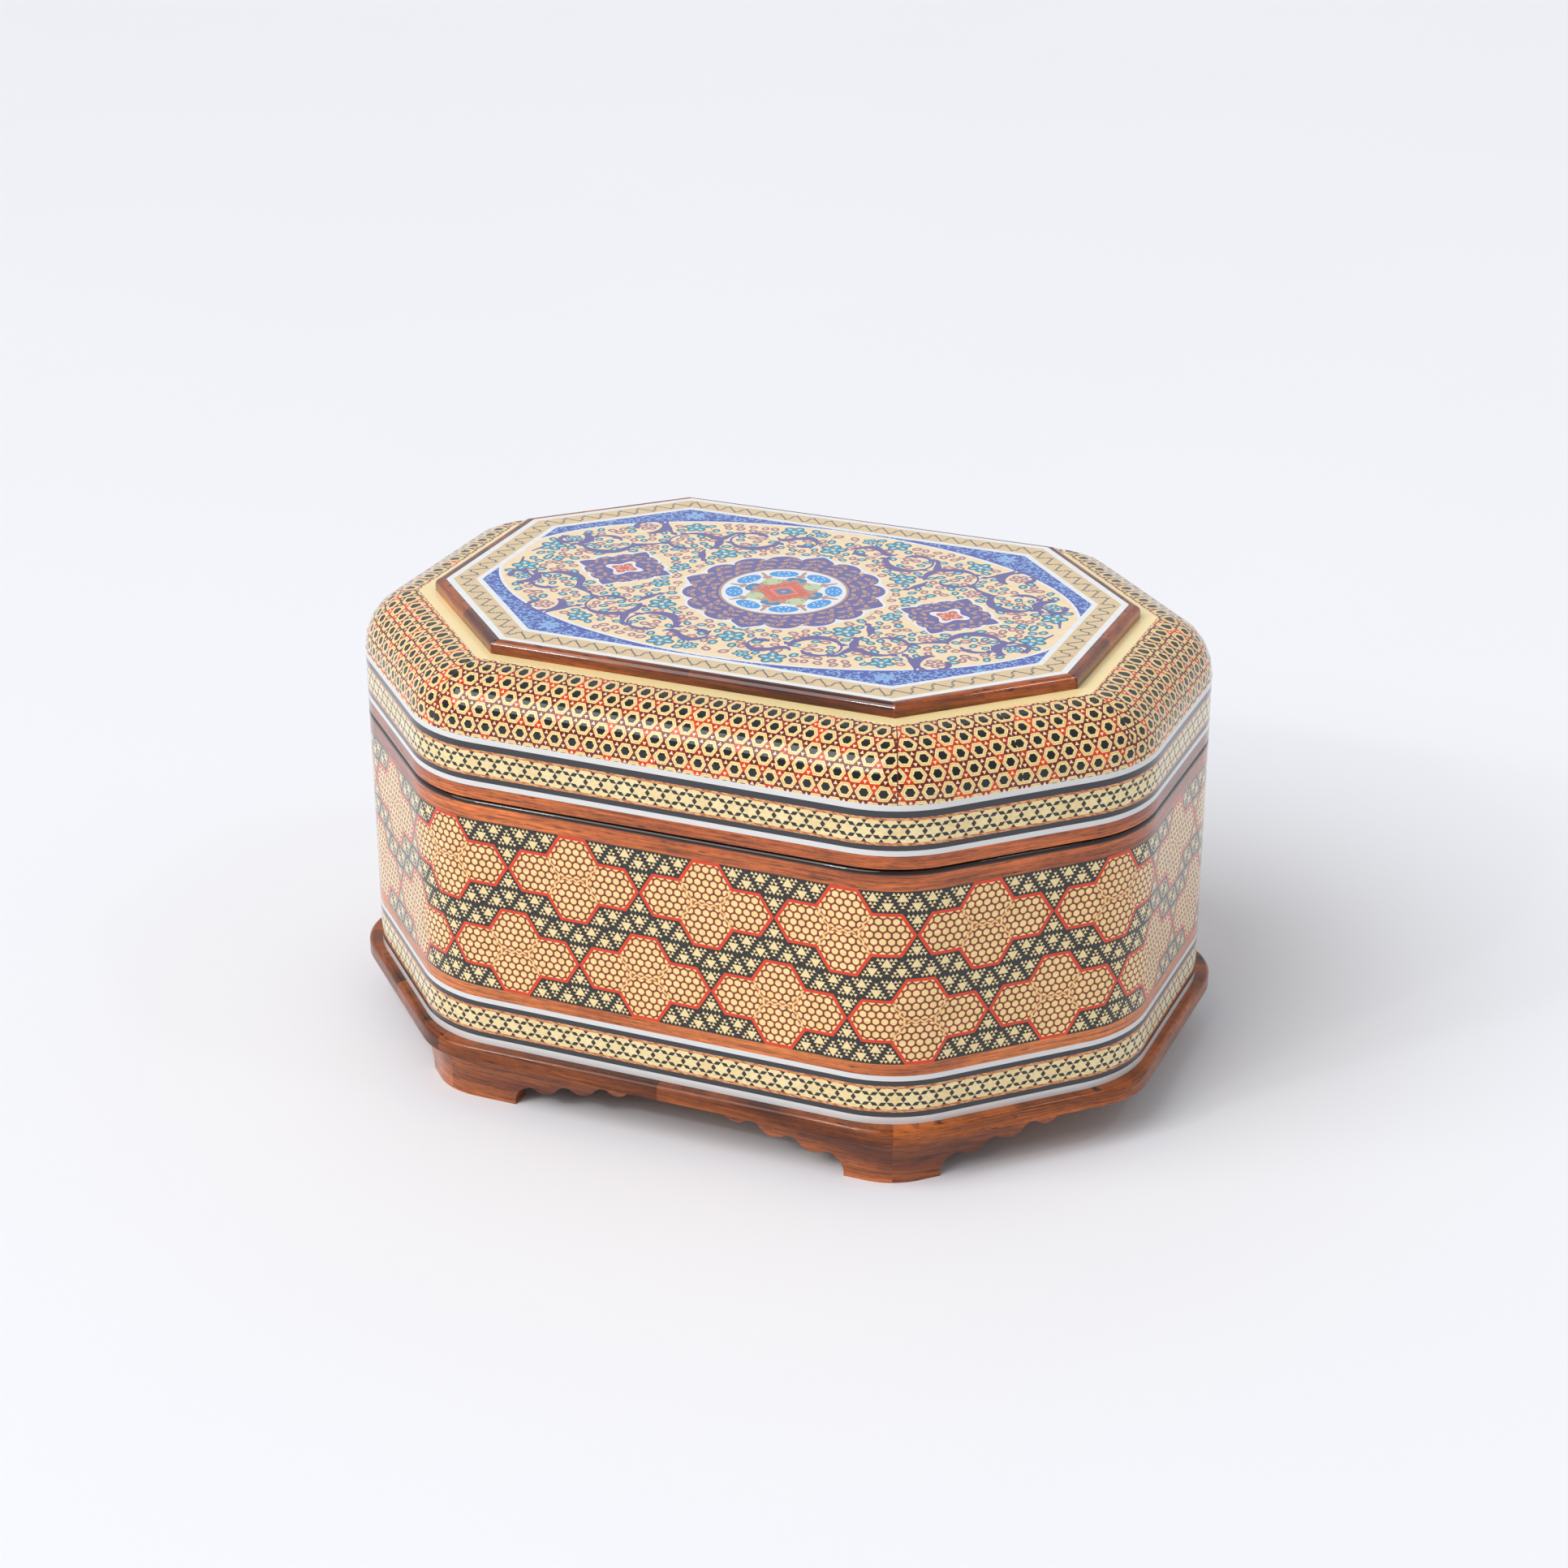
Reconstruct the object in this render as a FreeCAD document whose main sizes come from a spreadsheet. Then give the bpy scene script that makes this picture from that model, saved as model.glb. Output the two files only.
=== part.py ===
"""Inlaid (khatam) wooden jewellery box: octagonal walls, a hinged lid with a domed flank.

Frame: millimetres, +Z up, X along the long axis, hinges on the +Y side, origin on the table
under the middle of the box. Every size comes from the "Sizes" sheet. Plan outlines are octagons:
a rectangle whose corners are cut at 45 degrees, with rounded vertical edges.
"""
import FreeCAD, Part
import math
import os
import re

import Sketcher
from FreeCAD import Placement, Rotation, Vector

DRIVING = {
    # plan of the walls
    "body_length": 200.0, "body_width": 147.6, "corner_cut": 42.3, "corner_round": 28.8,
    # bracket feet: flat toe, longer along the front on the left feet, then three lobes up to the plinth
    "foot_height": 11.8, "foot_thick": 5.0, "foot_setback": 3.8, "foot_toe": 12.0, "left_toe": 18.0,
    "cove_run": 4.8, "cove_rise": 5.35, "lobe_run": 9.8, "lobe_rise": 1.85, "lobe_drop": 0.8,
    # plinth moulding
    "plinth_height": 3.85, "plinth_overhang": 2.5, "plinth_round": 20.0, "plinth_shoulder": 1.1,
    # heights of the inlaid bands on the base, from the plinth up
    "base_white_low": 1.8, "base_black_low": 1.3, "base_stars": 6.7, "base_black_top": 1.3,
    "base_white_top": 1.3, "base_walnut": 3.0, "base_field": 43.2, "base_rim": 4.95,
    # the rounded top edge of the rim, the seam, and heights of the inlaid bands on the lid
    "rim_round": 1.0, "seam_gap": 0.4, "lid_lip": 3.15, "lid_white_low": 1.3, "lid_black_low": 1.3,
    "lid_stars": 6.6, "lid_black_top": 1.6, "lid_white_top": 1.4,
    # the lid's domed flank and its top
    "dome_rise": 13.0, "dome_inset": 14.65, "dome_top_round": 0.5, "block_thick": 7.75,
    "frame_length": 163.0, "frame_width": 111.0, "frame_cut": 31.6, "frame_bead": 1.6,
    "panel_length": 157.6, "panel_width": 107.2, "panel_cut": 30.3, "panel_rise": 3.1,
    "panel_sheet": 0.8,
    # veneer and wall thickness, floor board, velvet lining
    "veneer": 1.5, "wall_inset": 7.0, "board_lift": 0.6, "board_thick": 4.4,
    "lining_thick": 0.8, "lining_drop": 1.0, "cushion_thick": 2.4, "cushion_gap": 0.2,
    # butt hinges, their pins and their screws
    "hinge_offset": 42.0, "hinge_length": 22.0, "leaf_width": 6.2, "leaf_thick": 0.7,
    "leaf_play": 0.1, "knuckle_radius": 1.2, "knuckle_gap": 0.2, "knuckle_reach": 1.3,
    "pin_radius": 0.6, "pin_play": 0.05,
    "screw_spread": 7.0, "screw_inset": 4.2, "screw_radius": 0.7, "screw_length": 4.5,
    "screw_head": 1.3,
}

DOCUMENT = FreeCAD.newDocument("inlaid_box")
SHEET = DOCUMENT.addObject("Spreadsheet::Sheet", "Sizes")
SUBPARTS = []
SIDES = ("right", "back_right", "back", "back_left", "left", "front_left", "front", "front_right")
DOME_STEPS = 6


def fill_sheet():
    """Write one row for each driving dimension: its name, its value and its alias."""
    for row, (alias, number) in enumerate(DRIVING.items(), start=1):
        SHEET.set(f"A{row}", alias)
        SHEET.set(f"B{row}", repr(number))
        SHEET.setAlias(f"B{row}", alias)
    DOCUMENT.recompute()


def linked(expression):
    """The expression with each alias written as a reference into the sheet."""
    return re.sub(r"[a-z_]+", lambda word: "Sizes." * (word[0] in DRIVING) + word[0], expression)


def value(expression):
    """The present value of an expression in the sheet's aliases."""
    return float(SHEET.evalExpression(linked(expression)))


def bind(item, name, expression):
    """Drive a property, or a sketch's named constraint, from the sheet."""
    item.setExpression(name, linked(expression))


def new(kind, name, label=None):
    """Add an object; one that has a label is a sub-part and is exported under that name."""
    item = DOCUMENT.addObject(kind, name)
    if label:
        item.Label = label
        SUBPARTS.append(item)
    return item


# ---------------------------------------------------------------- outlines

def plan(length, width, cut, inset="0"):
    """Half length, half width and reach of an octagon; reach is how far its cut faces stand out."""
    return (f"{length} / 2 - ({inset})", f"{width} / 2 - ({inset})",
            f"({length} / 2 + {width} / 2 - {cut}) / sqrt(2) - ({inset})")


def body_plan(inset="0"):
    """The walls' octagon, moved inwards by inset."""
    return plan("body_length", "body_width", "corner_cut", inset)


def corner_points(half_length, half_width, reach):
    """The octagon's corners, counter-clockwise; side i runs from corner i to corner i + 1."""
    end = math.sqrt(2) * reach - half_length
    side = math.sqrt(2) * reach - half_width
    quarter = [(half_length, -end), (half_length, end), (side, half_width), (-side, half_width)]
    return [Vector(x, y, 0) for x, y in quarter + [(-x, -y) for x, y in quarter]]


def draw_octagon(sketch, tag, sizes, rounding=None):
    """Draw a fully constrained octagon in a sketch; rounding is the corners' radius."""
    half_length, half_width, reach = (value(size) for size in sizes)
    radius = value(rounding) if rounding else 0.0
    centres = corner_points(half_length - radius, half_width - radius, reach - radius)
    lines = []
    arcs = []
    for side in range(8):
        outward = Vector(math.cos(side * math.pi / 4), math.sin(side * math.pi / 4), 0) * radius
        edge = Part.LineSegment(centres[side] + outward, centres[(side + 1) % 8] + outward)
        lines.append(sketch.addGeometry(edge, False))
    if rounding:
        for corner in range(8):
            circle = Part.Circle(centres[corner], Vector(0, 0, 1), radius)
            arc = Part.ArcOfCircle(circle, (corner - 1) * math.pi / 4, corner * math.pi / 4)
            arcs.append(sketch.addGeometry(arc, False))
    for side in range(8):
        following = (side + 1) % 8
        if rounding:
            sketch.addConstraint(Sketcher.Constraint("Tangent", lines[side], 2, arcs[following], 1))
            sketch.addConstraint(Sketcher.Constraint("Tangent", arcs[side], 2, lines[side], 1))
        else:
            sketch.addConstraint(Sketcher.Constraint("Coincident", lines[side], 2, lines[following], 1))
    for side in (0, 4):
        sketch.addConstraint(Sketcher.Constraint("Vertical", lines[side]))
    for side in (2, 6):
        sketch.addConstraint(Sketcher.Constraint("Horizontal", lines[side]))
    sketch.addConstraint(Sketcher.Constraint("Angle", lines[1], math.radians(135)))
    for side in (3, 5, 7):
        sketch.addConstraint(Sketcher.Constraint("Perpendicular", lines[side - 2], lines[side]))
    for side in range(8):
        size = sizes[0] if side in (0, 4) else sizes[1] if side in (2, 6) else sizes[2]
        place = sketch.addConstraint(Sketcher.Constraint("Distance", -1, 1, lines[side], value(size)))
        sketch.renameConstraint(place, f"{tag}_side_{side}")
        bind(sketch, f"Constraints.{tag}_side_{side}", size)
    if rounding:
        for corner in range(1, 8):
            sketch.addConstraint(Sketcher.Constraint("Equal", arcs[0], arcs[corner]))
        size = sketch.addConstraint(Sketcher.Constraint("Radius", arcs[0], radius))
        sketch.renameConstraint(size, f"{tag}_round")
        bind(sketch, f"Constraints.{tag}_round", rounding)


def outline(name, outer, outer_round=None, inner=None, inner_round=None, level="0"):
    """A horizontal sketch of one octagon, or of a ring between two."""
    sketch = DOCUMENT.addObject("Sketcher::SketchObject", name)
    draw_octagon(sketch, "outer", outer, outer_round)
    if inner:
        draw_octagon(sketch, "inner", inner, inner_round)
    bind(sketch, ".Placement.Base.z", level)
    return sketch


def lift(name, sketch, low, height, label=None):
    """Raise a plan outline into a solid from the level low."""
    solid = new("Part::Extrusion", name, label)
    solid.Base = sketch
    solid.DirMode = "Custom"
    solid.Dir = Vector(0, 0, 1)
    solid.Solid = True
    bind(solid, "LengthFwd", height)
    bind(solid, ".Placement.Base.z", low)
    return solid


def boolean(kind, name, base, tool, label=None):
    """Part::Cut, Part::Common or Part::Fuse of two objects."""
    result = new(f"Part::{kind}", name, label)
    result.Base = base
    result.Tool = tool
    return result


def mirrored(name, source, normal, label=None):
    """Mirror image of an object in a plane through the origin."""
    image = new("Part::Mirroring", name, label)
    image.Source = source
    image.Normal = normal
    return image


def box(name, length, width, height, corner):
    """A box whose lowest corner is given as three expressions."""
    item = DOCUMENT.addObject("Part::Box", name)
    for prop, size in zip(("Length", "Width", "Height"), (length, width, height)):
        bind(item, prop, size)
    for axis, place in zip("xyz", corner):
        bind(item, f".Placement.Base.{axis}", place)
    return item


def rod(name, radius, length, start, along):
    """A cylinder from start, given as three expressions, along +X or +Z."""
    item = DOCUMENT.addObject("Part::Cylinder", name)
    bind(item, "Radius", radius)
    bind(item, "Height", length)
    if along == "x":
        item.Placement = Placement(Vector(), Rotation(Vector(0, 1, 0), 90))
    for axis, place in zip("xyz", start):
        bind(item, f".Placement.Base.{axis}", place)
    return item


fill_sheet()

# ---------------------------------------------------------------- levels above the table

PLINTH_LOW = "foot_height"
WALL_LOW = "foot_height"
BANDS_LOW = "foot_height + plinth_height"
BASE_BANDS = (("base_white_line_low", "base_white_low"), ("base_black_line_low", "base_black_low"),
              ("base_star_band", "base_stars"), ("base_black_line_top", "base_black_top"),
              ("base_white_line_top", "base_white_top"), ("base_walnut_strip", "base_walnut"),
              ("base_khatam_field", "base_field"))
LID_BANDS = (("lid_white_line_low", "lid_white_low"), ("lid_black_line_low", "lid_black_low"),
             ("lid_star_band", "lid_stars"), ("lid_black_line_top", "lid_black_top"),
             ("lid_white_line_top", "lid_white_top"))
RIM_LOW = " + ".join([BANDS_LOW] + [height for _, height in BASE_BANDS])
RIM_TOP = f"{RIM_LOW} + base_rim"
HINGE_LEVEL = f"{RIM_TOP} + seam_gap / 2"
LID_LOW = f"{RIM_TOP} + seam_gap"
LID_BANDS_LOW = f"{LID_LOW} + lid_lip"
DOME_LOW = " + ".join([LID_BANDS_LOW] + [height for _, height in LID_BANDS])
BLOCK_TOP = f"{DOME_LOW} + dome_rise - veneer"
BLOCK_LOW = f"{BLOCK_TOP} - block_thick"
BOARD_LOW = f"{WALL_LOW} + board_lift"
BOARD_TOP = f"{BOARD_LOW} + board_thick"

# ---------------------------------------------------------------- bands of inlay round the walls

BAND_RING = outline("band_ring", body_plan(), "corner_round", body_plan("veneer"), "corner_round - veneer")
WALL_RING = outline("wall_ring", body_plan("veneer"), "corner_round - veneer", body_plan("wall_inset"))


def stack_bands(bands, low):
    """Bands of veneer lifted one on another from the level low."""
    for label, height in bands:
        lift(label, BAND_RING, low, height, label)
        low = f"{low} + {height}"


stack_bands(BASE_BANDS, BANDS_LOW)
stack_bands(LID_BANDS, LID_BANDS_LOW)
RIM_RING = lift("rim_ring", BAND_RING, RIM_LOW, "base_rim")
LIP_RING = lift("lip_ring", BAND_RING, LID_LOW, "lid_lip")

# ---------------------------------------------------------------- plinth and feet

PLINTH_OUTLINE = outline("plinth_outline", body_plan("-plinth_overhang"), "plinth_round",
                         body_plan("veneer"), "corner_round - veneer")
PLINTH_RING = lift("plinth_ring", PLINTH_OUTLINE, PLINTH_LOW, "plinth_height")
FOOT_OUTLINE = outline("foot_outline", body_plan("foot_setback - plinth_overhang"),
                       "plinth_round - foot_setback",
                       body_plan("foot_setback - plinth_overhang + foot_thick"),
                       "plinth_round - foot_setback - foot_thick")
FOOT_RING = lift("foot_ring", FOOT_OUTLINE, "0", "foot_height")


def mitre_wedge(side):
    """A tall prism that holds one side of every ring, cut by the mitres at its two corners."""
    outside, inside, height = 8.0, 14.0, 120.0
    corners = corner_points(*(value(size) for size in body_plan()))
    ends = []
    for corner in (side, side + 1):
        angle = (corner - 0.5) * math.pi / 4
        ends.append((corners[corner % 8], Vector(math.cos(angle), math.sin(angle), 0)))
    (first, first_way), (last, last_way) = ends
    points = [first - first_way * inside, first + first_way * outside,
              last + last_way * outside, last - last_way * inside]
    wedge = DOCUMENT.addObject("Part::Feature", f"wedge_{SIDES[side]}")
    wedge.Shape = Part.Face(Part.makePolygon(points + points[:1])).extrude(Vector(0, 0, height))
    return wedge


WEDGES = {name: mitre_wedge(side) for side, name in enumerate(SIDES)}


def foot_profile(depth, toe):
    """Outline of a bracket foot's wing: flat toe, a cove, then lobes that climb to the plinth."""
    top = value("foot_height")
    cove_run = value("cove_run")
    run = value("lobe_run")
    rise = value("lobe_rise")
    behind = -6.0

    def point(along, height):
        return Vector(along, depth, height)

    def arc(*three):
        return Part.Arc(*three).toShape()

    def line(*two):
        return Part.LineSegment(*two).toShape()

    crest = point(toe + cove_run, value("cove_rise"))
    edges = [line(point(behind, 0), point(toe, 0)),
             arc(point(toe, 0), point(toe + 0.23 * cove_run, 0.7 * crest.z), crest)]
    for lobe in range(3):
        belly = crest + Vector(0.37 * run, 0, -value("lobe_drop"))
        if lobe == 2:
            waist = point(crest.x + 0.62 * run, top)
            edges.append(arc(crest, belly, waist))
            edges.append(line(waist, point(behind, top)))
            break
        waist = crest + Vector(0.63 * run, 0, 0.3 * rise)
        following = crest + Vector(run, 0, rise)
        edges.append(arc(crest, belly, waist))
        edges.append(arc(waist, crest + Vector(0.745 * run, 0, 0.85 * rise), following))
        crest = following
    edges.append(line(point(behind, top), point(behind, 0)))
    return Part.Face(Part.Wire(edges))


def foot_wing(name, side, corner, turn, toe, label=None):
    """One wing of the front right foot: the foot ring's side, scalloped along its run."""
    reach = 12.0
    blank = boolean("Common", f"{name}_blank", FOOT_RING, WEDGES[side])
    scallop = DOCUMENT.addObject("Part::Feature", f"{name}_scallop")
    scallop.Shape = foot_profile(-reach, value(toe)).extrude(Vector(0, 2 * reach, 0))
    scallop.Placement = Placement(corner, Rotation(Vector(0, 0, 1), turn))
    return boolean("Common", name, blank, scallop, label)


FOOT_CORNER = corner_points(*(value(size) for size in body_plan("foot_setback - plinth_overhang")))[7]
RIGHT = {"long": foot_wing("foot_long", "front", FOOT_CORNER, 180, "foot_toe", "foot_front_right_long"),
         "short": foot_wing("foot_short", "front_right", FOOT_CORNER, 45, "foot_toe", "foot_front_right_short")}
LEFT = {"long": foot_wing("foot_left_long", "front", FOOT_CORNER, 180, "left_toe"), "short": RIGHT["short"]}
for wing, part in RIGHT.items():
    front_left = mirrored(f"foot_{wing}_fl", LEFT[wing], Vector(1, 0, 0), f"foot_front_left_{wing}")
    mirrored(f"foot_{wing}_br", part, Vector(0, 1, 0), f"foot_back_right_{wing}")
    mirrored(f"foot_{wing}_bl", front_left, Vector(0, 1, 0), f"foot_back_left_{wing}")

# ---------------------------------------------------------------- lid dome


def dome(name, inset, rise):
    """A solid dome on the lid's walls: quarter-ellipse flanks that narrow to the cream strip."""
    sections = []
    for step in range(DOME_STEPS + 1):
        angle = 90 * step / DOME_STEPS
        drawn_in = f"{inset} + (dome_inset - ({inset})) * (1 - cos({angle} deg))"
        rounding = f"(corner_round - ({inset})) * cos({angle} deg) + dome_top_round"
        level = f"{DOME_LOW} + ({rise}) * sin({angle} deg)"
        sections.append(outline(f"{name}_{step}", body_plan(drawn_in), rounding, level=level))
    loft = DOCUMENT.addObject("Part::Loft", name)
    loft.Sections = sections
    loft.Solid = True
    loft.Ruled = True
    return loft


DOME_OUTER = dome("dome_outer", "0", "dome_rise")
DOME_INNER = dome("dome_inner", "veneer", "dome_rise - veneer")
CAVITY = outline("cavity", body_plan("wall_inset"))
CREAM_OUTLINE = outline("cream_outline", body_plan("dome_inset"), "dome_top_round")
FRAME_PLAN = plan("frame_length", "frame_width", "frame_cut")
PANEL_PLAN = plan("panel_length", "panel_width", "panel_cut")

flank_shell = boolean("Cut", "flank_shell", DOME_OUTER, DOME_INNER)
cream_plug = lift("cream_plug", CREAM_OUTLINE, BLOCK_TOP, "2 * veneer")
boolean("Cut", "flank", flank_shell, cream_plug, "lid_khatam_flank")

block_space = box("block_space", "body_length", "body_width", "dome_rise",
                  ("-body_length / 2", "-body_width / 2", BLOCK_LOW))
boolean("Common", "block", DOME_INNER, block_space, "lid_top_block")
lid_cavity = lift("lid_cavity", CAVITY, LID_LOW, f"({BLOCK_LOW}) - ({LID_LOW}) + dome_rise")
dome_skirt = boolean("Cut", "dome_skirt", DOME_INNER, block_space)
dome_frame = boolean("Cut", "dome_frame", dome_skirt, lid_cavity)
lid_ring = lift("lid_ring", WALL_RING, LID_LOW, f"({DOME_LOW}) - ({LID_LOW})")
LID_CORE = boolean("Fuse", "lid_core", lid_ring, dome_frame)
LID_CORE.Refine = True
BASE_CORE = lift("base_core", WALL_RING, WALL_LOW, f"({RIM_TOP}) - ({WALL_LOW})")

cream_ring = outline("cream_ring", body_plan("dome_inset"), "dome_top_round", FRAME_PLAN)
lift("cream", cream_ring, BLOCK_TOP, "veneer", "lid_cream_strip")
frame_ring = outline("frame_ring", FRAME_PLAN, None, PANEL_PLAN)
FRAME_BLANK = lift("frame_blank", frame_ring, BLOCK_TOP, "veneer + panel_rise")
panel_outline = outline("panel_outline", PANEL_PLAN)
lift("panel_board", panel_outline, BLOCK_TOP, "veneer + panel_rise - panel_sheet", "lid_panel_board")
lift("panel_sheet_solid", panel_outline, f"{BLOCK_TOP} + veneer + panel_rise - panel_sheet", "panel_sheet",
     "lid_painted_panel")


def round_top(name, blank, radius, label=None):
    """Round the outer top edge of a ring with a fillet."""
    DOCUMENT.recompute()
    bounds = blank.Shape.BoundBox
    wires = [wire for face in blank.Shape.Faces for wire in face.Wires]
    tops = [wire for wire in wires if abs(wire.BoundBox.ZMin - bounds.ZMax) < 1e-6]
    outer = max(tops, key=lambda wire: wire.BoundBox.XLength)
    chosen = [index for index, edge in enumerate(blank.Shape.Edges, start=1)
              if any(edge.isSame(other) for other in outer.Edges)]
    rounded = new("Part::Fillet", name, label)
    rounded.Base = blank
    rounded.Edges = [(index, value(radius), value(radius)) for index in chosen]
    return rounded


round_top("plinth", PLINTH_RING, "plinth_shoulder", "base_plinth_moulding")
round_top("frame", FRAME_BLANK, "frame_bead", "lid_panel_moulding")

# ---------------------------------------------------------------- butt hinges

AXIS_Y = "body_width / 2 + knuckle_reach"
HINGE_START = "hinge_offset - hinge_length / 2"
KNUCKLE = "(hinge_length - 2 * knuckle_gap) / 3"
MIDDLE_START = f"{HINGE_START} + {KNUCKLE} + knuckle_gap"
LAST_START = f"{HINGE_START} + 2 * ({KNUCKLE} + knuckle_gap)"
LEAF_LOW = {"base": f"{HINGE_LEVEL} - leaf_play / 2 - leaf_thick", "lid": f"{HINGE_LEVEL} + leaf_play / 2"}
SCREW_Y = "body_width / 2 - screw_inset"


def fuse_all(name, items):
    """One solid from several overlapping ones."""
    fused = DOCUMENT.addObject("Part::MultiFuse", name)
    fused.Shapes = items
    fused.Refine = True
    return fused


def screw(name, offset, body):
    """A countersunk wood screw, its head flush with the leaf's inner face, pointing into the wood."""
    place = f"hinge_offset + ({offset})"
    head_top = f"{HINGE_LEVEL} {'-' if body == 'base' else '+'} leaf_play / 2"
    head = DOCUMENT.addObject("Part::Cone", f"{name}_head")
    bind(head, "Radius1", "screw_radius" if body == "base" else "screw_head")
    bind(head, "Radius2", "screw_head" if body == "base" else "screw_radius")
    bind(head, "Height", "leaf_thick")
    for axis, expression in zip("xyz", (place, SCREW_Y, LEAF_LOW[body])):
        bind(head, f".Placement.Base.{axis}", expression)
    shank_low = f"{head_top} - screw_length" if body == "base" else head_top
    shank = rod(f"{name}_shank", "screw_radius", "screw_length", (place, SCREW_Y, shank_low), "z")
    return fuse_all(name, [head, shank])



def leaf(body, starts):
    """A hinge leaf: a plate let into the wood's edge, with the knuckles that start at starts."""
    low = LEAF_LOW[body]
    plate = box(f"plate_{body}", "hinge_length", "leaf_width", "leaf_thick",
                (HINGE_START, "body_width / 2 - leaf_width", low))
    solids = [plate]
    for number, start in enumerate(starts):
        solids.append(box(f"tab_{body}_{number}", KNUCKLE, "knuckle_reach", "leaf_thick",
                          (start, "body_width / 2", low)))
        solids.append(rod(f"barrel_{body}_{number}", "knuckle_radius", KNUCKLE,
                          (start, AXIS_Y, HINGE_LEVEL), "x"))
    blank = fuse_all(f"leaf_{body}_blank", solids)
    bore = rod(f"bore_{body}", "pin_radius + pin_play", "hinge_length",
               (HINGE_START, AXIS_Y, HINGE_LEVEL), "x")
    screws = [screw(f"screw_{body}_{index}", offset, body)
              for index, offset in enumerate(("-screw_spread", "screw_spread"))]
    bored = boolean("Cut", f"leaf_{body}_bored", blank, bore)
    holes = DOCUMENT.addObject("Part::Compound", f"holes_{body}")
    holes.Links = screws
    right = boolean("Cut", f"leaf_{body}_right", bored, holes, f"hinge_right_{body}_leaf")
    mirrored(f"leaf_{body}_left", right, Vector(1, 0, 0), f"hinge_left_{body}_leaf")
    left_holes = mirrored(f"holes_{body}_left", holes, Vector(1, 0, 0))
    group = new("Part::Compound", f"screws_{body}", f"hinge_screws_{body}")
    group.Links = [holes, left_holes]
    return group


SCREWS = {"base": leaf("base", (HINGE_START, LAST_START)), "lid": leaf("lid", (MIDDLE_START,))}
pin = rod("pin_right", "pin_radius", "hinge_length", (HINGE_START, AXIS_Y, HINGE_LEVEL), "x")
pin.Label = "hinge_right_pin"
SUBPARTS.append(pin)
mirrored("pin_left", pin, Vector(1, 0, 0), "hinge_left_pin")

# ---------------------------------------------------------------- walls, let in for the hinges


def mortises(body):
    """The recesses that both hinge leaves of one body need in its wood."""
    right = box(f"mortise_{body}", "hinge_length", "leaf_width + knuckle_reach", "leaf_thick",
                (HINGE_START, "body_width / 2 - leaf_width", LEAF_LOW[body]))
    pair = DOCUMENT.addObject("Part::Compound", f"mortises_{body}")
    pair.Links = [right, mirrored(f"mortise_{body}_left", right, Vector(1, 0, 0))]
    return pair


MORTISES = {body: mortises(body) for body in ("base", "lid")}
for body, core in (("base", BASE_CORE), ("lid", LID_CORE)):
    for side in SIDES:
        if side != "back":
            boolean("Common", f"{body}_wall_{side}", core, WEDGES[side], f"{body}_wall_{side}")
            continue
        whole = boolean("Common", f"{body}_wall_whole", core, WEDGES[side])
        recessed = boolean("Cut", f"{body}_wall_recessed", whole, MORTISES[body])
        boolean("Cut", f"{body}_wall_back", recessed, SCREWS[body], f"{body}_wall_back")
ROUNDED_RIM = round_top("rim_rounded", RIM_RING, "rim_round")
boolean("Cut", "rim_strip", ROUNDED_RIM, MORTISES["base"], "base_rim_strip")
boolean("Cut", "lip_strip", LIP_RING, MORTISES["lid"], "lid_lip_strip")

# ---------------------------------------------------------------- floor board and velvet lining

lift("board", CAVITY, BOARD_LOW, "board_thick", "base_floor_board")
LINING_RING = outline("lining_ring", body_plan("wall_inset"), None, body_plan("wall_inset + lining_thick"))
CUSHION = outline("cushion_outline", body_plan("wall_inset + lining_thick + cushion_gap"))
lift("base_lining", LINING_RING, BOARD_TOP, f"({RIM_TOP}) - ({BOARD_TOP}) - lining_drop", "base_wall_lining")
lift("base_cushion", CUSHION, BOARD_TOP, "cushion_thick", "base_floor_cushion")
lift("lid_lining", LINING_RING, f"{LID_LOW} + lining_drop", f"({BLOCK_LOW}) - ({LID_LOW}) - lining_drop",
     "lid_wall_lining")
lift("lid_cushion", CUSHION, f"{BLOCK_LOW} - lining_thick", "lining_thick", "lid_top_lining")

# ---------------------------------------------------------------- checks and export

DOCUMENT.recompute()
for item in DOCUMENT.Objects:
    if "Invalid" in item.State or "Error" in item.State:
        raise RuntimeError(f"{item.Name} failed: {item.State}")
for part in SUBPARTS:
    if part.Shape.isNull() or not part.Shape.isValid() or not part.Shape.Solids:
        raise RuntimeError(f"{part.Label} has no valid solid")
os.makedirs("parts", exist_ok=True)
for part in SUBPARTS:
    part.Shape.exportStep(f"parts/{part.Label}.step")
    print(f"{part.Label}: {len(part.Shape.Solids)} solids, {part.Shape.Volume:.1f} mm3")
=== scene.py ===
"""The inlaid box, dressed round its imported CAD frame: inlay, walnut, painted panel, cushion and stage."""

import math
import random

import bmesh
import bpy
from mathutils import Matrix, Vector, geometry


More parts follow.
